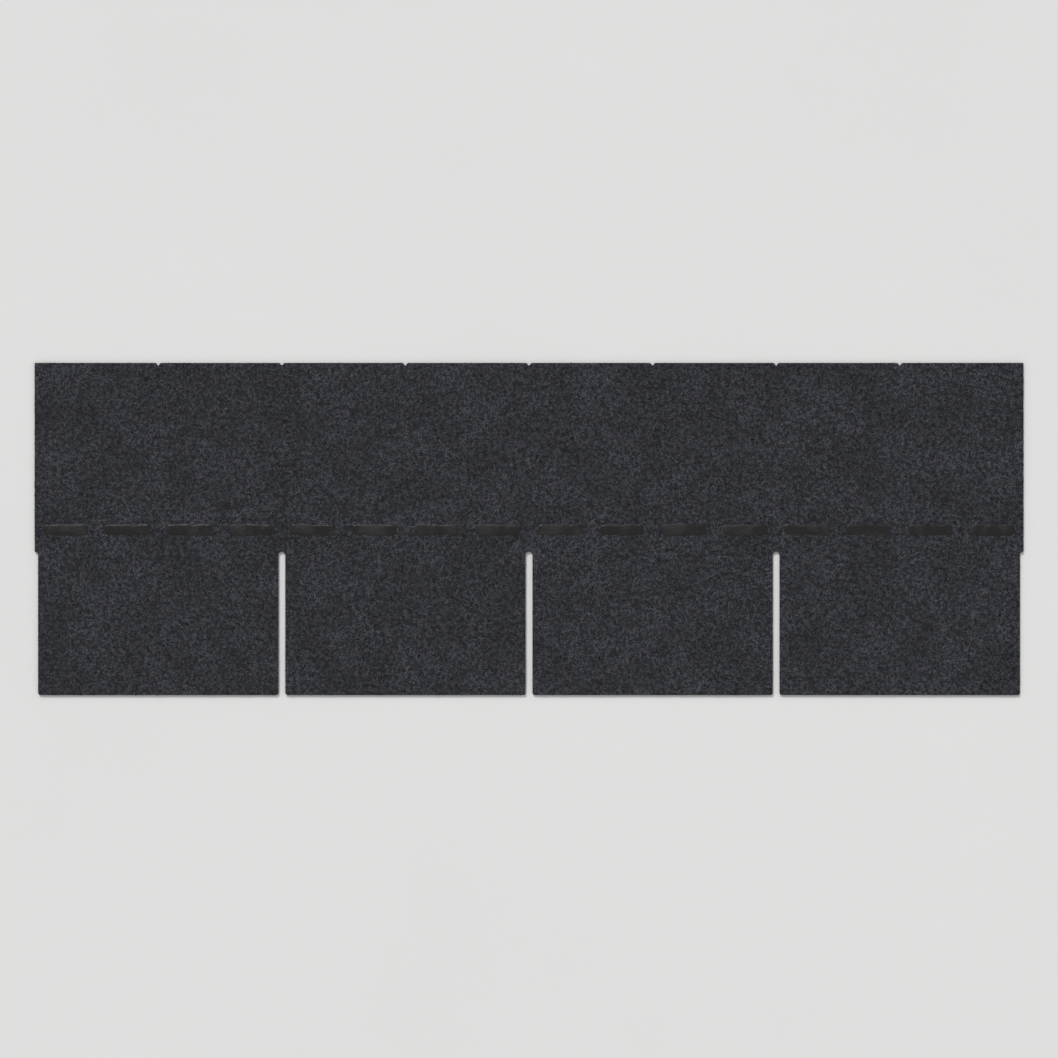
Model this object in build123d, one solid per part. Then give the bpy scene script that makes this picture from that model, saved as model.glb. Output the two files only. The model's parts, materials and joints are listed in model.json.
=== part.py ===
"""A strip shingle for a pitched roof, as it is cut from a continuous sheet of glass mat
coated with asphalt and faced with crushed stone granules. It lies flat, granules up.

The lower part is divided into square-cornered tabs by narrow cutouts. A half cutout at
each end makes a whole one where two strips meet. The upper part, the head, is covered by
the next courses. Pads of adhesive stand on the face above the cutouts, and hold down the
tabs of the next course. A strip of film, pressed into the back behind them, keeps the
pads of the strip below from sticking while the strips are stacked.

Millimetres. +X runs along the strip, +Y up the roof slope, +Z out of the granule face.
The origin is the middle of the underside.
"""

from build123d import *

import os

# The sheet
STRIP_LENGTH = 1000.0
SHEET_THICKNESS = 2.8
COURSE_EXPOSURE = 142.0  # what a laid course leaves in view, from butt edge to butt edge
HEAD_LAP = 52.0  # what two more courses cover

# The tabs and the cutouts between them
TAB_COUNT = 4
CUTOUT_WIDTH = 7.0
CUTOUT_HIDDEN = 3.0  # how far a cutout runs on under the course above
TAB_CORNER_RADIUS = 2.5

# The nicks in the head edge, which centre the next course half a tab to the side
NICK_WIDTH = 5.0
NICK_DEPTH = 3.0

# The adhesive pads
PADS_PER_TAB = 4
PAD_LENGTH = 46.0
PAD_WIDTH = 12.0
PAD_HEIGHT = 0.9
PAD_CORNER_RADIUS = 4.0
PAD_EDGE_BEVEL = 0.6
PADS_ABOVE_CUTOUTS = 22.0  # from the top of the cutouts to the middle of the pads

# The release film on the back
FILM_WIDTH = 34.0
FILM_THICKNESS = 0.1

STRIP_DEPTH = 2 * COURSE_EXPOSURE + HEAD_LAP
TAB_PITCH = STRIP_LENGTH / TAB_COUNT
BUTT_EDGE_Y = -STRIP_DEPTH / 2
HEAD_EDGE_Y = STRIP_DEPTH / 2
END_X = STRIP_LENGTH / 2
CUTOUT_TOP_Y = BUTT_EDGE_Y + COURSE_EXPOSURE + CUTOUT_HIDDEN
SEAL_LINE_Y = CUTOUT_TOP_Y + PADS_ABOVE_CUTOUTS
ON_EDGE = 1e-3  # how near a corner is to a line that it lies on


def cutout(x):
    """One cutout's outline: open at the butt edge, with straight sides and a round top."""
    radius = CUTOUT_WIDTH / 2
    spring_y = CUTOUT_TOP_Y - radius
    left, right = x - radius, x + radius
    sides = Polyline((left, spring_y), (left, BUTT_EDGE_Y), (right, BUTT_EDGE_Y), (right, spring_y))
    top = ThreePointArc((right, spring_y), (x, CUTOUT_TOP_Y), (left, spring_y))
    return make_face(Wire([*sides.edges(), top]))


def alignment_nick(x):
    """One vee cut into the head edge."""
    half = NICK_WIDTH / 2
    return make_face(
        Polyline(
            (x - half, HEAD_EDGE_Y),
            (x, HEAD_EDGE_Y - NICK_DEPTH),
            (x + half, HEAD_EDGE_Y),
            close=True,
        )
    )


def die_cut_outline():
    """The strip as the cutting roll leaves it: tabs, cutouts, half cutouts and nicks."""
    blank = Rectangle(STRIP_LENGTH, STRIP_DEPTH)
    joint_lines = [-END_X + i * TAB_PITCH for i in range(TAB_COUNT + 1)]
    for x in joint_lines:
        blank -= cutout(x)
    half_tabs = [-END_X + i * TAB_PITCH / 2 for i in range(1, 2 * TAB_COUNT)]
    for x in half_tabs:
        blank -= alignment_nick(x)
    tab_corners = [v for v in blank.vertices() if abs(v.Y - BUTT_EDGE_Y) < ON_EDGE]
    return fillet(tab_corners, TAB_CORNER_RADIUS)


def film_bed():
    """The shallow bed that the film presses into the back, the length of the strip."""
    middle = Pos(0, SEAL_LINE_Y, FILM_THICKNESS / 2)
    return middle * Box(STRIP_LENGTH, FILM_WIDTH, FILM_THICKNESS)


def shingle_strip():
    """The coated and granule-faced sheet, in one piece."""
    return extrude(die_cut_outline(), SHEET_THICKNESS) - film_bed()


def seal_pad(x):
    """One pad of adhesive on the face, with round corners and sloping sides at the top."""
    outline = RectangleRounded(PAD_LENGTH, PAD_WIDTH, PAD_CORNER_RADIUS)
    pad = extrude(Pos(x, SEAL_LINE_Y, SHEET_THICKNESS) * outline, PAD_HEIGHT)
    top_edges = pad.edges().group_by(Axis.Z)[-1]
    return chamfer(top_edges, PAD_EDGE_BEVEL)


def seal_pads():
    """The row of pads, evenly spaced over the whole strip."""
    pitch = TAB_PITCH / PADS_PER_TAB
    places = [-END_X + (i + 0.5) * pitch for i in range(TAB_COUNT * PADS_PER_TAB)]
    return Compound([seal_pad(x) for x in places])


def release_film():
    """The film in its bed, flush with the back."""
    return film_bed()


NODES = {
    "shingle_strip": shingle_strip,
    "seal_pads": seal_pads,
    "release_film": release_film,
}

os.makedirs("parts", exist_ok=True)
for name, make in NODES.items():
    export_step(make(), f"parts/{name}.step")
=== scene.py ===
"""A strip shingle, lying flat with its granules up, seen from straight above.

Metres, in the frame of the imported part: +X along the strip, +Y up the roof slope, +Z out of
the granule face, and the origin in the middle of the underside.
"""

import json
import math
import random

import bmesh
import bpy
from mathutils import Matrix, Vector, noise

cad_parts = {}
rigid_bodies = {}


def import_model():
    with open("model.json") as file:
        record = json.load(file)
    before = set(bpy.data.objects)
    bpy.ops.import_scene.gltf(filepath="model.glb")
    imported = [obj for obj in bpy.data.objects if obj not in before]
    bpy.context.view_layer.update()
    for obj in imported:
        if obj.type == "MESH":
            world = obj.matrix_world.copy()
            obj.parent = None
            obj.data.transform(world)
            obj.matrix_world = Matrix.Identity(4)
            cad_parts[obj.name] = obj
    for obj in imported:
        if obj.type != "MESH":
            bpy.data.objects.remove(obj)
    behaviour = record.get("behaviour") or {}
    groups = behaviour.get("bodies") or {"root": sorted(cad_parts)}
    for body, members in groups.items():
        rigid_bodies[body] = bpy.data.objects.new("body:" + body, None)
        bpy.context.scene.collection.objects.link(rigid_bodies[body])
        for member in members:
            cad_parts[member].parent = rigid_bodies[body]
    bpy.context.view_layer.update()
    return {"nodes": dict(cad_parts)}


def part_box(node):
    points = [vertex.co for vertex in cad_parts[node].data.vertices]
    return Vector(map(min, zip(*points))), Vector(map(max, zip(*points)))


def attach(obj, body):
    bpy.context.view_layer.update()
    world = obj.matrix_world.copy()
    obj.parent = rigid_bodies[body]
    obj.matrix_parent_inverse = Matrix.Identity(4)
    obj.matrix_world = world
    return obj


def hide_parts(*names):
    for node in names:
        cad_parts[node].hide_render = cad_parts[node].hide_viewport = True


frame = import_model()

# The sheet. A glass mat soaked and coated with asphalt, pressed flat while hot and die-cut
# on a roll. The cut leaves black edges with a thin line of glass fibre halfway up, and the
# back is dusted with fine parting sand so that the strips don't stick in the pack.

MM = 0.001
strip_low, strip_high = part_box("shingle_strip")
STRIP_LENGTH = strip_high[0] - strip_low[0]
FACE_Z = strip_high[2]


def place(tree, kind, inputs=None, **settings):
    """Adds a node. Each input is joined to a socket or given a plain value."""
    node = tree.nodes.new(kind)
    for name, value in settings.items():
        setattr(node, name, value)
    for name, value in (inputs or {}).items():
        if isinstance(value, bpy.types.NodeSocket):
            tree.links.new(value, node.inputs[name])
        else:
            node.inputs[name].default_value = value
    return node


def maths(tree, operation, first, second=0.0):
    """Adds one sum on two numbers and returns its result."""
    return place(tree, "ShaderNodeMath", {0: first, 1: second}, operation=operation).outputs[0]


def weighed(tree, *parts):
    """Adds up amounts, each multiplied by its share."""
    total = 0.0
    for amount, share in parts:
        total = maths(tree, "ADD", total, maths(tree, "MULTIPLY", amount, share))
    return total


def ease(tree, value, start, end, low=0.0, high=1.0):
    """Turns a number that runs from start to end into one that runs smoothly from low to high."""
    span = {"Value": value, "From Min": start, "From Max": end, "To Min": low, "To Max": high}
    eased = place(tree, "ShaderNodeMapRange", span, interpolation_type="SMOOTHSTEP")
    return eased.outputs["Result"]


def blend(tree, share, first, second):
    """Mixes two colours: all first at a share of 0, all second at 1."""
    node = place(tree, "ShaderNodeMix", {0: share}, data_type="RGBA")
    for socket, colour in ((node.inputs[6], first), (node.inputs[7], second)):
        if isinstance(colour, bpy.types.NodeSocket):
            tree.links.new(colour, socket)
        else:
            socket.default_value = (*colour, 1.0)
    return node.outputs[2]


def stretched(tree, spot, scale):
    """Scales the surface points along each axis, to make a pattern on them longer or shorter."""
    return place(tree, "ShaderNodeMapping", {"Vector": spot, "Scale": scale}).outputs[0]


def new_group(name, amount, *outputs):
    """Starts a shader node group that takes a place and one number and puts out numbers."""
    tree = bpy.data.node_groups.new(name, "ShaderNodeTree")
    tree.interface.new_socket("Place", in_out="INPUT", socket_type="NodeSocketVector")
    tree.interface.new_socket(amount, in_out="INPUT", socket_type="NodeSocketFloat")
    for output in outputs:
        tree.interface.new_socket(output, in_out="OUTPUT", socket_type="NodeSocketFloat")
    return tree, tree.nodes.new("NodeGroupInput"), tree.nodes.new("NodeGroupOutput")


GRIT_SLOPE = 0.22
GRIT_HEIGHTS = (0.45, 1.0)
MOTTLE_DETAIL = 4.0
MOTTLE_ROUGHNESS = 0.55
MOTTLE_RANGE = (0.32, 0.68)


def make_grit():
    """Crushed grains packed side by side, flat-topped, each with its own tone from 0 to 1."""
    tree, given, result = new_group("grit", "Grains per metre", "Tone", "Height")
    packing = {"Vector": given.outputs["Place"], "Scale": given.outputs["Grains per metre"]}
    grains = place(tree, "ShaderNodeTexVoronoi", packing, feature="F1")
    joints = place(tree, "ShaderNodeTexVoronoi", packing, feature="DISTANCE_TO_EDGE")
    parts = place(tree, "ShaderNodeSeparateColor", {"Color": grains.outputs["Color"]})
    tops = ease(tree, joints.outputs["Distance"], 0.0, GRIT_SLOPE)
    heights = ease(tree, parts.outputs["Green"], 0.0, 1.0, *GRIT_HEIGHTS)
    tree.links.new(parts.outputs["Red"], result.inputs["Tone"])
    tree.links.new(maths(tree, "MULTIPLY", tops, heights), result.inputs["Height"])
    return tree


def make_mottle():
    """Soft uneven patches from 0 to 1, as wide as given, broken up by smaller ones."""
    tree, given, result = new_group("mottle", "Patches per metre", "Amount")
    cloud = place(
        tree,
        "ShaderNodeTexNoise",
        {
            "Vector": given.outputs["Place"],
            "Scale": given.outputs["Patches per metre"],
            "Detail": MOTTLE_DETAIL,
            "Roughness": MOTTLE_ROUGHNESS,
        },
    )
    tree.links.new(ease(tree, cloud.outputs["Fac"], *MOTTLE_RANGE), result.inputs["Amount"])
    return tree


grit = make_grit()
mottle = make_mottle()


def use_group(tree, group, spot, amount):
    """Places a node group at a surface point, with its one number."""
    node = place(tree, "ShaderNodeGroup", node_tree=group)
    tree.links.new(spot, node.inputs[0])
    node.inputs[1].default_value = amount
    return node.outputs


def new_material(name, **constants):
    """Starts a material. Returns it with its tree, its shader and its Object coordinates."""
    material = bpy.data.materials.new(name)
    material.use_nodes = True
    tree = material.node_tree
    shader = tree.nodes["Principled BSDF"]
    for socket, value in constants.items():
        shader.inputs[socket.replace("_", " ")].default_value = value
    spot = tree.nodes.new("ShaderNodeTexCoord").outputs["Object"]
    return material, tree, shader, spot


def set_bump(tree, shader, height, depth, strength):
    """Raises the surface by height, where 1 stands for depth in metres."""
    relief = {"Height": height, "Distance": depth, "Strength": strength}
    bump = place(tree, "ShaderNodeBump", relief)
    tree.links.new(bump.outputs["Normal"], shader.inputs["Normal"])


ASPHALT_BLACK = (0.0084, 0.0088, 0.0103)
ASPHALT_GREY = (0.026, 0.027, 0.031)
GLASS_FIBRE = (0.17, 0.16, 0.145)
STREAKS_PER_M = 1500.0
STREAK_STRETCH = (1.0, 1.0, 0.18)  # under 1, a pattern runs long on that axis
STREAK_RELIEF = 0.6
FILLER_PER_M = 2600.0
FILLER_RELIEF = 0.4
MAT_LINE_Z = 1.3 * MM
MAT_LINE_HALF = 0.3 * MM
MAT_WAVE = 0.25 * MM
MAT_WAVES_PER_M = 45.0
FIBRES_PER_M = 1100.0
FIBRE_STRETCH = (1.0, 1.0, 6.0)
FIBRES_SEEN = (0.35, 0.85)
FIBRE_SHARE = (0.08, 0.8)


def cut_asphalt(tree, spot, height):
    """The cut edge's colour and relief: knife streaks down black asphalt, and the mat's fibres."""
    down = stretched(tree, spot, STREAK_STRETCH)
    streaks = use_group(tree, mottle, down, STREAKS_PER_M)["Amount"]
    filler = use_group(tree, mottle, spot, FILLER_PER_M)["Amount"]
    bitumen = blend(tree, maths(tree, "MULTIPLY", streaks, filler), ASPHALT_BLACK, ASPHALT_GREY)

    waves = use_group(tree, mottle, spot, MAT_WAVES_PER_M)["Amount"]
    above_line = maths(tree, "SUBTRACT", height, MAT_LINE_Z)
    off_line = maths(tree, "SUBTRACT", above_line, maths(tree, "MULTIPLY", waves, MAT_WAVE))
    near_line = ease(tree, maths(tree, "ABSOLUTE", off_line), 0.0, MAT_LINE_HALF, 1.0, 0.0)
    along = stretched(tree, spot, FIBRE_STRETCH)
    fibres = use_group(tree, mottle, along, FIBRES_PER_M)["Amount"]
    share = maths(tree, "MULTIPLY", near_line, ease(tree, fibres, *FIBRES_SEEN, *FIBRE_SHARE))

    relief = weighed(tree, (streaks, STREAK_RELIEF), (filler, FILLER_RELIEF))
    return blend(tree, share, bitumen, GLASS_FIBRE), relief


FINE_STONE = (0.0418, 0.0442, 0.0540)
FINES_PER_M = 1250.0
FINES_FULL = 0.6
PARTING_SAND = (0.17, 0.165, 0.155)
SAND_PER_M = 2100.0
SAND_SEEN = (0.05, 0.75)
THIN_PATCHES_PER_M = 14.0
SAND_MISSING = (0.3, 0.0)
FACE_BEGINS_Z = FACE_Z - 0.06 * MM
FACE_FULL_Z = FACE_Z - 0.02 * MM
BACK_FULL_Z = 0.11 * MM
BACK_ENDS_Z = 0.13 * MM
FRONT_AND_BACK_ROUGHNESS = (0.55, 0.95)
SHEET_RELIEF = 0.3 * MM
SHEET_RELIEF_STRENGTH = 0.8


def coated_sheet():
    """Fine stone in asphalt on the face, bare asphalt on the cut edges and sand on the back."""
    material, tree, shader, spot = new_material("coated_sheet", Specular_IOR_Level=0.25)
    height = place(tree, "ShaderNodeSeparateXYZ", {0: spot}).outputs["Z"]
    is_back = ease(tree, height, BACK_FULL_Z, BACK_ENDS_Z, 1.0, 0.0)
    is_face = ease(tree, height, FACE_BEGINS_Z, FACE_FULL_Z)
    is_edge = maths(tree, "SUBTRACT", 1.0, maths(tree, "ADD", is_back, is_face))

    fines = use_group(tree, grit, spot, FINES_PER_M)
    fine_stone = maths(tree, "MULTIPLY", fines["Tone"], fines["Height"])
    face = blend(tree, ease(tree, fine_stone, 0.0, FINES_FULL), ASPHALT_BLACK, FINE_STONE)

    sand = use_group(tree, grit, spot, SAND_PER_M)
    patches = use_group(tree, mottle, spot, THIN_PATCHES_PER_M)["Amount"]
    missing = ease(tree, patches, 0, 1, *SAND_MISSING)
    sand_share = maths(tree, "SUBTRACT", ease(tree, sand["Tone"], *SAND_SEEN), missing)
    back = blend(tree, maths(tree, "MAXIMUM", sand_share, 0.0), ASPHALT_GREY, PARTING_SAND)

    edge, edge_relief = cut_asphalt(tree, spot, height)
    colour = blend(tree, is_back, blend(tree, is_face, edge, face), back)
    tree.links.new(colour, shader.inputs["Base Color"])
    tree.links.new(ease(tree, is_back, 0, 1, *FRONT_AND_BACK_ROUGHNESS), shader.inputs["Roughness"])
    reliefs = (sand["Height"], is_back), (fines["Height"], is_face), (edge_relief, is_edge)
    set_bump(tree, shader, weighed(tree, *reliefs), SHEET_RELIEF, SHEET_RELIEF_STRENGTH)
    return material


sheet = frame["nodes"]["shingle_strip"]
sheet.data.materials.clear()
sheet.data.materials.append(coated_sheet())

# The granules. Rock is crushed, sieved and fired with a dark ceramic colour, then dropped
# on the hot asphalt and pressed in, so each chip is half sunk. The chips lie close, and the
# ones at an edge were cut with the sheet or stand a little over it.

CHIP_KINDS = 16
CRUSHING_SEED = 7
CHIP_REACH = 1.22 * MM
CHIP_TOP = 0.40 * MM
CHIP_TOP_CORNERS = (3, 4, 5, 4)
CHIP_TOP_REACH = (0.58, 1.0)
CHIP_SUNK = 0.4 * MM
CHIP_SUNK_CORNERS = 3
CHIP_SUNK_REACH = (0.8, 1.1)
CORNER_SHIFT = 0.26
CORNER_HEIGHT = (0.75, 1.15)


def finished_mesh(name, bm):
    """Writes a bmesh out as a new mesh."""
    mesh = bpy.data.meshes.new(name)
    bm.to_mesh(mesh)
    bm.free()
    return mesh


def add_object(name, data):
    """Puts a mesh, a light or a camera into the scene, at the origin."""
    thing = bpy.data.objects.new(name, data)
    bpy.context.scene.collection.objects.link(thing)
    return thing


def stone_chips():
    """A collection of a few different crushed chips, lying on their broadest side."""
    rng = random.Random(CRUSHING_SEED)
    chips = bpy.data.collections.new("chips")
    for kind in range(CHIP_KINDS):
        bm = bmesh.new()
        top_corners = CHIP_TOP_CORNERS[kind % len(CHIP_TOP_CORNERS)]
        for corners, lift, reaches in (
            (top_corners, CHIP_TOP, CHIP_TOP_REACH),
            (CHIP_SUNK_CORNERS, -CHIP_SUNK, CHIP_SUNK_REACH),
        ):
            start = rng.uniform(0.0, math.tau)
            for i in range(corners):
                turn = start + math.tau * (i + rng.uniform(-CORNER_SHIFT, CORNER_SHIFT)) / corners
                reach = CHIP_REACH * rng.uniform(*reaches)
                height = lift * rng.uniform(*CORNER_HEIGHT)
                corner = (reach * math.cos(turn), reach * math.sin(turn), height)
                bmesh.ops.create_vert(bm, co=corner)
        bmesh.ops.convex_hull(bm, input=bm.verts)
        bmesh.ops.recalc_face_normals(bm, faces=bm.faces)
        mesh = finished_mesh(f"chip_{kind}", bm)
        chips.objects.link(bpy.data.objects.new(mesh.name, mesh))
    return chips


def geometry_tree(name):
    """Starts a tree of geometry nodes, and returns it with the geometry that it is given."""
    tree = bpy.data.node_groups.new(name, "GeometryNodeTree")
    for way in ("INPUT", "OUTPUT"):
        tree.interface.new_socket("Geometry", in_out=way, socket_type="NodeSocketGeometry")
    return tree, tree.nodes.new("NodeGroupInput").outputs["Geometry"]


def grown_mesh(name, bm, tree):
    """The plain mesh that a tree of geometry nodes makes of a bmesh."""
    bed = add_object(f"{name}_bed", finished_mesh(f"{name}_bed", bm))
    bed.modifiers.new("grow", "NODES").node_group = tree
    graph = bpy.context.evaluated_depsgraph_get()
    mesh = bpy.data.meshes.new_from_object(bed.evaluated_get(graph), depsgraph=graph)
    mesh.name = name
    bpy.data.objects.remove(bed)
    return mesh


SAME_PLACE = 0.001 * MM
FACE_RIM = 0.55 * MM
CHIP_SPACING = 1.47 * MM
CHIP_TRIES_PER_M2 = 7.0e6
SOWING_SEED = 11


def granule_face():
    """The sheet's face as one polygon, a little inside the cut edges."""
    bm = bmesh.new()
    bm.from_mesh(sheet.data)
    bmesh.ops.remove_doubles(bm, verts=bm.verts, dist=SAME_PLACE)
    others = [face for face in bm.faces if face.calc_center_median().z < FACE_Z - SAME_PLACE]
    bmesh.ops.delete(bm, geom=others, context="FACES")
    bmesh.ops.dissolve_faces(bm, faces=bm.faces)
    rim = bmesh.ops.inset_region(bm, faces=bm.faces, thickness=FACE_RIM, use_boundary=True)
    bmesh.ops.delete(bm, geom=rim["faces"], context="FACES")
    return bm


def sown_spots():
    """A bare vertex for each granule of the face, none nearer to another than the spacing."""
    tree, face = geometry_tree("sowing")
    sown = place(
        tree,
        "GeometryNodeDistributePointsOnFaces",
        {
            "Mesh": face,
            "Distance Min": CHIP_SPACING,
            "Density Max": CHIP_TRIES_PER_M2,
            "Seed": SOWING_SEED,
        },
        distribute_method="POISSON",
    )
    spots = place(tree, "GeometryNodePointsToVertices", {"Points": sown.outputs["Points"]})
    place(tree, "NodeGroupOutput", {"Geometry": spots.outputs[0]})
    bm = bmesh.new()
    bm.from_mesh(grown_mesh("sown_spots", granule_face(), tree))
    return bm


CHIP_TILT = 0.26
SMALL_CHIP = (0.68, 0.68, 0.7)
LARGE_CHIP = (1.14, 1.14, 1.2)
TURN_SEED = 1
SIZE_SEED = 2
KIND_SEED = 3
TONE_SEED = 4
# The random node's sockets for the least, the most and the value drawn, by the kind of value
CHANCE_SOCKETS = {"FLOAT_VECTOR": (0, 1, 0), "FLOAT": (2, 3, 1), "INT": (4, 5, 2)}


def by_chance(tree, kind, least, most, seed):
    """A value drawn for each chip between two ends."""
    low, high, drawn = CHANCE_SOCKETS[kind]
    ends = {low: least, high: most, "Seed": seed}
    return place(tree, "FunctionNodeRandomValue", ends, data_type=kind).outputs[drawn]


def scatter_tree(chips):
    """Geometry nodes that lay a chip on each spot, turned, tilted, sized and toned by chance."""
    tree, spots = geometry_tree("scatter")
    stones = place(
        tree,
        "GeometryNodeCollectionInfo",
        {"Collection": chips, "Separate Children": True, "Reset Children": True},
    )
    least_turn = (-CHIP_TILT, -CHIP_TILT, 0.0)
    most_turn = (CHIP_TILT, CHIP_TILT, math.tau)
    laid = place(
        tree,
        "GeometryNodeInstanceOnPoints",
        {
            "Points": place(tree, "GeometryNodeMeshToPoints", {"Mesh": spots}).outputs[0],
            "Instance": stones.outputs[0],
            "Pick Instance": True,
            "Instance Index": by_chance(tree, "INT", 0, CHIP_KINDS - 1, KIND_SEED),
            "Rotation": by_chance(tree, "FLOAT_VECTOR", least_turn, most_turn, TURN_SEED),
            "Scale": by_chance(tree, "FLOAT_VECTOR", SMALL_CHIP, LARGE_CHIP, SIZE_SEED),
        },
    )
    tone = by_chance(tree, "FLOAT", 0.0, 1.0, TONE_SEED)
    toned = place(
        tree,
        "GeometryNodeStoreNamedAttribute",
        {"Geometry": laid.outputs[0], "Name": "tone", "Value": tone},
        data_type="FLOAT",
        domain="INSTANCE",
    )
    real = place(tree, "GeometryNodeRealizeInstances", {"Geometry": toned.outputs[0]})
    place(tree, "NodeGroupOutput", {"Geometry": real.outputs[0]})
    return tree


TAB_COUNT = 4
TAB_LENGTH = 145 * MM
TAB_PITCH = STRIP_LENGTH / TAB_COUNT
TAB_TOP_Y = strip_low[1] + TAB_LENGTH
CUTOUT_HALF = 3.5 * MM
CUTOUT_SPRING_Y = TAB_TOP_Y - CUTOUT_HALF
NICK_COUNT = 2 * TAB_COUNT - 1
NICK_PITCH = TAB_PITCH / 2
NICK_HALF = 2.5 * MM
NICK_DEPTH = 3.0 * MM
CUT_RAGGED = 0.45 * MM
CUT_OVERHANG = 0.5  # of the raggedness, on average
CUT_TEETH_PER_M = 900.0
CUT_WAVES_PER_M = 120.0


def trim_to_cuts(mesh):
    """Draws in what stands over a cut edge, because the die cuts through the chips as well."""
    for vert in mesh.vertices:
        x, y, _ = vert.co
        spot = Vector((x, y, 0.0))
        uneven = noise.noise(spot * CUT_TEETH_PER_M) + noise.noise(spot * CUT_WAVES_PER_M)
        over = CUT_RAGGED * (CUT_OVERHANG + uneven)
        nick = min(max(round((x - strip_low[0]) / NICK_PITCH), 1), NICK_COUNT)
        off_nick = abs(x - strip_low[0] - NICK_PITCH * nick)
        head_y = strip_high[1] - NICK_DEPTH * max(1.0 - off_nick / NICK_HALF, 0.0)
        y = min(max(y, strip_low[1] - over), head_y + over)
        x = min(max(x, strip_low[0] - over), strip_high[0] + over)
        cutout_x = strip_low[0] + TAB_PITCH * round((x - strip_low[0]) / TAB_PITCH)
        off_cutout = Vector((x - cutout_x, max(y - CUTOUT_SPRING_Y, 0.0)))
        if 0.0 < off_cutout.length < CUTOUT_HALF - over:
            edge = off_cutout * ((CUTOUT_HALF - over) / off_cutout.length)
            x = cutout_x + edge.x
            y = CUTOUT_SPRING_Y + edge.y if y > CUTOUT_SPRING_Y else y
        vert.co = (x, y, vert.co.z)


MAP_MARGIN = 0.002
MAP_UNDERSIDES = 0.04
MAP_TOPS_START = 0.05


def map_from_above(mesh):
    """A flat map of the chips as seen from above, with their undersides on a band of their own."""
    layer = mesh.uv_layers.new(name="OFBake")
    places = [vert.co for vert in mesh.vertices]
    low = [min(p[axis] for p in places) for axis in (0, 1)]
    span = [max(p[axis] for p in places) - low[axis] for axis in (0, 1)]
    for face in mesh.polygons:
        start, height = MAP_MARGIN, MAP_UNDERSIDES
        if face.normal.z > 0:
            start, height = MAP_TOPS_START, 1.0 - MAP_MARGIN - MAP_TOPS_START
        for corner in face.loop_indices:
            spot = places[mesh.loops[corner].vertex_index]
            across = (spot[0] - low[0]) / span[0]
            along = (spot[1] - low[1]) / span[1]
            u = MAP_MARGIN + (1.0 - 2 * MAP_MARGIN) * across
            layer.uv[corner].vector = (u, start + height * along)


BLACK_STONE = (0.0133, 0.0143, 0.0190)
CHARCOAL_STONE = (0.0402, 0.0428, 0.0525)
SLATE_STONE = (0.0546, 0.0567, 0.0673)
GREY_STONE = (0.0597, 0.0615, 0.0711)
PALE_STONE = (0.0760, 0.0780, 0.0860)
STONE_TONES = (
    (0.06, BLACK_STONE),
    (0.22, CHARCOAL_STONE),
    (0.6, SLATE_STONE),
    (0.985, GREY_STONE),
    (1.0, PALE_STONE),
)
PATCHES_PER_M = 22.0
PATCH_LIGHT = (0.84, 1.16)
CLUSTERS_PER_M = 255.0
CLUSTER_FULL = 0.8
CLUSTER_LIGHT = (0.36, 1.22)
GRAIN_PER_M = 1700.0
GRAIN_LIGHT = (0.9, 1.1)
STONE_ROUGHNESS = (0.62, 0.9)


def crushed_stone():
    """Ceramic-coloured stone: a tone for each chip, lit unevenly by patches, clusters and grain."""
    material, tree, shader, spot = new_material("crushed_stone", Specular_IOR_Level=0.2)
    tone = place(tree, "ShaderNodeAttribute", attribute_name="tone").outputs["Fac"]
    ramp = place(tree, "ShaderNodeValToRGB", {"Fac": tone})
    stops = ramp.color_ramp.elements
    for position, _ in STONE_TONES[1:-1]:
        stops.new(position)
    for stop, (position, colour) in zip(stops, STONE_TONES):
        stop.position = position
        stop.color = (*colour, 1.0)
    patches = use_group(tree, mottle, spot, PATCHES_PER_M)["Amount"]
    clusters = use_group(tree, mottle, spot, CLUSTERS_PER_M)["Amount"]
    grain = use_group(tree, mottle, spot, GRAIN_PER_M)["Amount"]
    patch_light = ease(tree, patches, 0, 1, *PATCH_LIGHT)
    cluster_light = ease(tree, clusters, 0, CLUSTER_FULL, *CLUSTER_LIGHT)
    uneven = maths(tree, "MULTIPLY", patch_light, cluster_light)
    light = maths(tree, "MULTIPLY", uneven, ease(tree, grain, 0, 1, *GRAIN_LIGHT))
    toned = {0: ramp.outputs["Color"], "Scale": light}
    colour = place(tree, "ShaderNodeVectorMath", toned, operation="SCALE").outputs[0]
    tree.links.new(colour, shader.inputs["Base Color"])
    tree.links.new(ease(tree, grain, 0, 1, *STONE_ROUGHNESS), shader.inputs["Roughness"])
    return material


stone = crushed_stone()
chips = stone_chips()
scatter = scatter_tree(chips)
spots_bm = sown_spots()


def lay_granules(name, x_low, x_high, y_low, y_high):
    """One piece: the granules of one part of the face."""
    bm = spots_bm.copy()
    others = [v for v in bm.verts if not (x_low <= v.co.x < x_high and y_low <= v.co.y < y_high)]
    bmesh.ops.delete(bm, geom=others, context="VERTS")
    mesh = grown_mesh(name, bm, scatter)
    trim_to_cuts(mesh)
    map_from_above(mesh)
    mesh.materials.clear()
    mesh.materials.append(stone)
    piece = add_object(name, mesh)
    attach(piece, "root")


for i in range(TAB_COUNT):
    left = strip_low[0] + i * TAB_PITCH
    lay_granules(f"granules_tab_{i + 1}", left, left + TAB_PITCH, strip_low[1], TAB_TOP_Y)
    lay_granules(f"granules_head_{i + 1}", left, left + TAB_PITCH, TAB_TOP_Y, strip_high[1])
spots_bm.free()
for chip in list(chips.objects):
    bpy.data.objects.remove(chip)
bpy.data.collections.remove(chips)

# The adhesive pads. Hot asphalt is printed on the finished face by a wheel, in dashes that
# slump a little and set glossy, with rounded backs and uneven rims between the granules.

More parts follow.
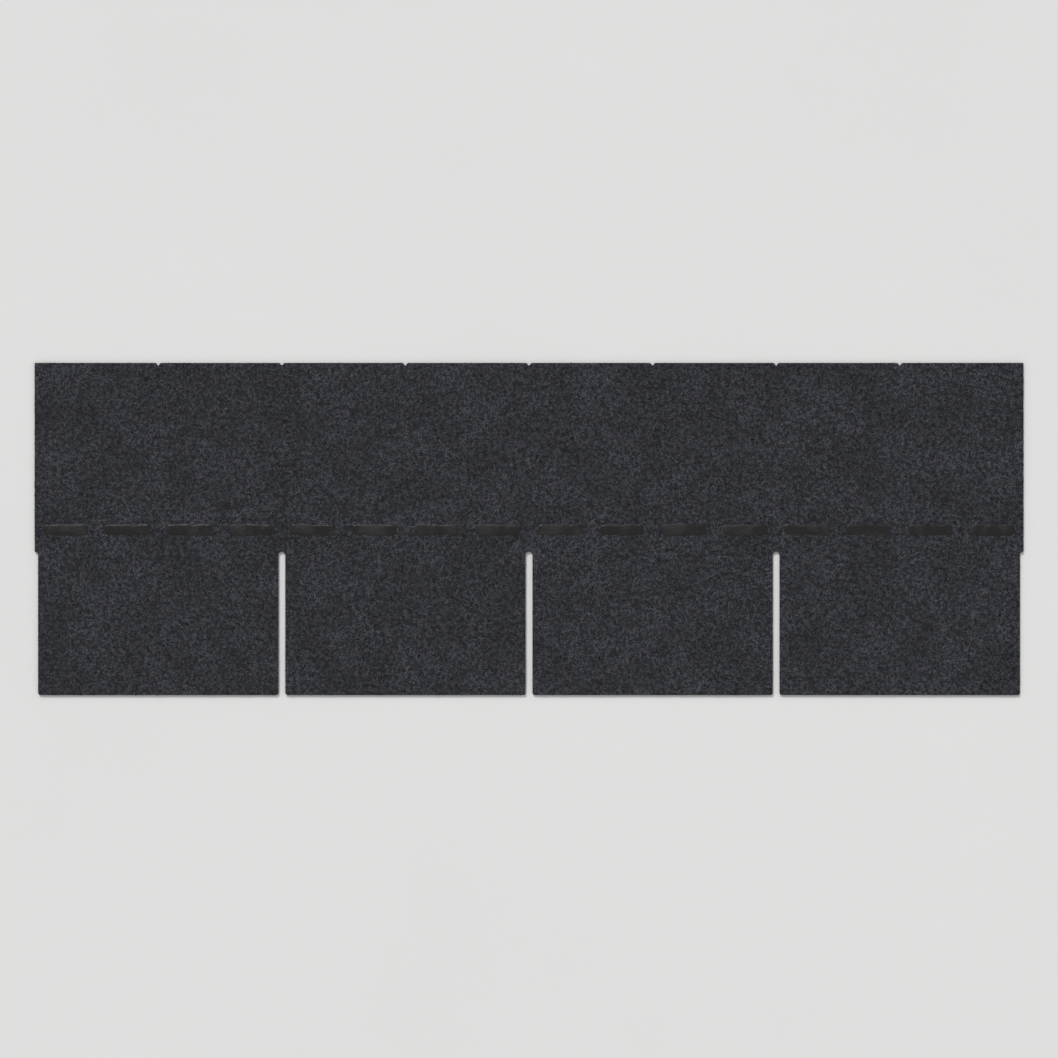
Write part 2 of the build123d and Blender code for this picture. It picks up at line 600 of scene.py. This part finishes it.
PADS_PER_TAB = 4
PAD_COUNT = TAB_COUNT * PADS_PER_TAB
pads_low, pads_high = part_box("seal_pads")
PAD_WIDTH = pads_high[1] - pads_low[1]
PAD_RISE = pads_high[2] - FACE_Z
PAD_PITCH = TAB_PITCH / PADS_PER_TAB
PAD_LENGTH = pads_high[0] - pads_low[0] - PAD_PITCH * (PAD_COUNT - 1)
PAD_CORNER = 4.6 * MM
PAD_CORNER_STEPS = 5
HALF_CORNER_STEP = math.pi / (4 * PAD_CORNER_STEPS)
PAD_SIDE_CUTS = 9
PAD_SUNK = 0.25 * MM
# How far each step of the dome goes inwards and upwards, in mm
PAD_STEPS = ((0.3, 0.30), (0.5, 0.24), (0.8, 0.18), (1.1, 0.11), (1.4, 0.05))


def poured_pad(bm, x, y):
    """One dash of adhesive, raised from its rounded outline in steps that draw in, like a dome."""
    turned = Matrix.Rotation(HALF_CORNER_STEP, 4, "Z")
    ring = bmesh.ops.create_circle(
        bm, segments=PAD_CORNER_STEPS * 4, radius=PAD_CORNER, matrix=turned
    )["verts"]
    for vert in ring:
        vert.co.x += math.copysign(PAD_LENGTH / 2 - PAD_CORNER, vert.co.x)
        vert.co.y += math.copysign(PAD_WIDTH / 2 - PAD_CORNER, vert.co.y)
    bmesh.ops.translate(bm, vec=(x, y, FACE_Z - PAD_SUNK), verts=ring)
    long_edges = [edge for edge in bm.edges if edge.is_wire and edge.calc_length() > PAD_CORNER]
    bmesh.ops.subdivide_edges(bm, edges=long_edges, cuts=PAD_SIDE_CUTS)
    rim = [edge for edge in bm.edges if edge.is_wire]
    base = bmesh.ops.contextual_create(bm, geom=rim)["faces"]
    base[0].normal_update()
    if base[0].normal.z < 0:
        bmesh.ops.reverse_faces(bm, faces=base)
    top = bmesh.ops.extrude_face_region(bm, geom=base)["geom"]
    raised = [part for part in top if isinstance(part, bmesh.types.BMVert)]
    bmesh.ops.translate(bm, vec=(0.0, 0.0, PAD_SUNK), verts=raised)
    crown = [part for part in top if isinstance(part, bmesh.types.BMFace)]
    rise = sum(step for _, step in PAD_STEPS)
    for inwards, upwards in PAD_STEPS:
        depth = PAD_RISE * upwards / rise
        bmesh.ops.inset_region(
            bm, faces=crown, thickness=inwards * MM, depth=depth, use_even_offset=True
        )


POURING_SEED = 5
SLUMPS_PER_M = 130.0
SLUMP = 0.9 * MM
LUMPS_PER_M = 430.0
LUMP = 0.4 * MM
BACK_UNEVEN = 0.3


def adhesive_pads():
    """All the pads, with rims and backs made uneven."""
    bm = bmesh.new()
    y = (pads_low[1] + pads_high[1]) / 2
    for i in range(PAD_COUNT):
        poured_pad(bm, pads_low[0] + PAD_LENGTH / 2 + i * PAD_PITCH, y)
    bmesh.ops.recalc_face_normals(bm, faces=bm.faces)
    noise.seed_set(POURING_SEED)
    for vert in bm.verts:
        spot = Vector((vert.co.x, vert.co.y, 0.0))
        slump = noise.noise_vector(spot * SLUMPS_PER_M) * SLUMP
        wobble = slump + noise.noise_vector(spot * LUMPS_PER_M) * LUMP
        wobble.z *= BACK_UNEVEN if vert.co.z > FACE_Z else 0.0
        vert.co += wobble
        vert.co.z = min(vert.co.z, pads_high[2])
    mesh = finished_mesh("adhesive_pads", bm)
    mesh.shade_smooth()
    piece = add_object("adhesive_pads", mesh)
    smooth = piece.modifiers.new("smooth", "SUBSURF")
    smooth.levels = smooth.render_levels = 1
    return piece


SET_BLACK = (0.007, 0.007, 0.0075)
DUSTY_BLACK = (0.022, 0.022, 0.023)
RIPPLES_PER_M = 260.0
RIPPLE = 0.25 * MM
RIPPLE_STRENGTH = 0.5
DUST_PER_M = 60.0
DUST_BEGINS = 0.3
DUST_SHARE = 0.5
ADHESIVE_ROUGHNESS = (0.27, 0.5)


def set_asphalt():
    """Glossy adhesive asphalt, rippled, with a little dust in patches."""
    material, tree, shader, spot = new_material("set_asphalt", Specular_IOR_Level=0.32)
    ripple = use_group(tree, mottle, spot, RIPPLES_PER_M)["Amount"]
    dust = use_group(tree, mottle, spot, DUST_PER_M)["Amount"]
    dusty = ease(tree, dust, DUST_BEGINS, 1.0, 0.0, DUST_SHARE)
    tree.links.new(blend(tree, dusty, SET_BLACK, DUSTY_BLACK), shader.inputs["Base Color"])
    tree.links.new(ease(tree, dust, 0, 1, *ADHESIVE_ROUGHNESS), shader.inputs["Roughness"])
    set_bump(tree, shader, ripple, RIPPLE, RIPPLE_STRENGTH)
    return material


pads = adhesive_pads()
pads.data.materials.append(set_asphalt())
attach(pads, "root")
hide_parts("seal_pads")

# The release film. A clear polyester tape, laid on the soft back coating and rolled in flush,
# so the dark sheet shows through it and it has fine creases along its length.

CLEAR_FILM = (0.045, 0.047, 0.052)
HAZY_FILM = (0.085, 0.088, 0.094)
FILM_BUBBLE = (0.15, 0.155, 0.16)
FILM_STRETCH = (0.12, 1.0, 1.0)
HAZE_PER_M = 260.0
CREASES_PER_M = 90.0
CREASE_RELIEF = 0.7
BUBBLES_PER_M = 170.0
BUBBLES_SEEN = (0.86, 0.98)
BUBBLE_SHARE = 0.5
BUBBLE_RELIEF = 0.5
FILM_ROUGHNESS = (0.18, 0.36)
FILM_RELIEF = 0.3 * MM
FILM_RELIEF_STRENGTH = 0.4


def clear_tape():
    """Glossy film over dark asphalt, hazy in long streaks, with creases and a few bubbles."""
    material, tree, shader, spot = new_material("clear_tape", Coat_Weight=0.5, Coat_Roughness=0.1)
    lengthwise = stretched(tree, spot, FILM_STRETCH)
    haze = use_group(tree, mottle, lengthwise, HAZE_PER_M)["Amount"]
    crease = use_group(tree, mottle, lengthwise, CREASES_PER_M)["Amount"]
    bubbles = use_group(tree, grit, spot, BUBBLES_PER_M)
    bubble = maths(tree, "MULTIPLY", ease(tree, bubbles["Tone"], *BUBBLES_SEEN), bubbles["Height"])
    clear = blend(tree, haze, CLEAR_FILM, HAZY_FILM)
    colour = blend(tree, maths(tree, "MULTIPLY", bubble, BUBBLE_SHARE), clear, FILM_BUBBLE)
    tree.links.new(colour, shader.inputs["Base Color"])
    tree.links.new(ease(tree, haze, 0, 1, *FILM_ROUGHNESS), shader.inputs["Roughness"])
    relief = weighed(tree, (crease, CREASE_RELIEF), (bubble, BUBBLE_RELIEF))
    set_bump(tree, shader, relief, FILM_RELIEF, FILM_RELIEF_STRENGTH)
    return material


film = frame["nodes"]["release_film"]
film.data.materials.clear()
film.data.materials.append(clear_tape())

# The floor, the light and the camera. The strip lies on a plain pale floor under a soft, even
# key light from up the slope, and the camera looks straight down on it.

FLOOR_SIZE = 30.0
FLOOR_COLOUR = (0.74, 0.74, 0.735)
FLOOR_DARKER = 0.985
FLOOR_PATCHES_PER_M = 3.0
FAR_FLOOR = (0.6, 0.6, 0.6)
FAR_STARTS = 2.0
FAR_ENDS = 12.0
KEY_FROM = Vector((-1.7, 3.8, 4.2))
KEY_SPREAD = math.radians(15.4)
KEY_STRENGTH = 1.78
SKY_STRENGTH = 0.60
LENS_MM = 100.0
SENSOR_MM = 36.0
FRAME_WIDTH = STRIP_LENGTH * 1.07


def pale_floor():
    """A plain matt floor, which darkens a little further off to meet the sky without a line."""
    material, tree, shader, spot = new_material("pale_floor", Roughness=1.0, Specular_IOR_Level=0.0)
    patches = use_group(tree, mottle, spot, FLOOR_PATCHES_PER_M)["Amount"]
    darker = tuple(FLOOR_DARKER * c for c in FLOOR_COLOUR)
    near_colour = blend(tree, patches, darker, FLOOR_COLOUR)
    away = place(tree, "ShaderNodeVectorMath", {0: spot}, operation="LENGTH").outputs["Value"]
    colour = blend(tree, ease(tree, away, FAR_STARTS, FAR_ENDS), near_colour, FAR_FLOOR)
    tree.links.new(colour, shader.inputs["Base Color"])
    return material


floor_bm = bmesh.new()
bmesh.ops.create_grid(floor_bm, x_segments=1, y_segments=1, size=FLOOR_SIZE / 2)
floor = add_object("floor", finished_mesh("floor", floor_bm))
floor.data.materials.append(pale_floor())

key = add_object("key", bpy.data.lights.new("key", "SUN"))
key.data.angle = KEY_SPREAD
key.data.energy = KEY_STRENGTH
key.location = KEY_FROM
key.rotation_euler = KEY_FROM.to_track_quat("Z", "Y").to_euler()

world = bpy.data.worlds.new("studio")
world.use_nodes = True
sky = world.node_tree.nodes["Background"]
sky.inputs["Color"].default_value = (1.0, 1.0, 1.0, 1.0)
sky.inputs["Strength"].default_value = SKY_STRENGTH
bpy.context.scene.world = world

camera = add_object("camera", bpy.data.cameras.new("camera"))
camera.data.lens = LENS_MM
camera.data.sensor_width = SENSOR_MM
camera.location = (0.0, 0.0, FACE_Z + FRAME_WIDTH * LENS_MM / SENSOR_MM)
bpy.context.scene.camera = camera
bpy.context.scene.view_settings.view_transform = "Standard"
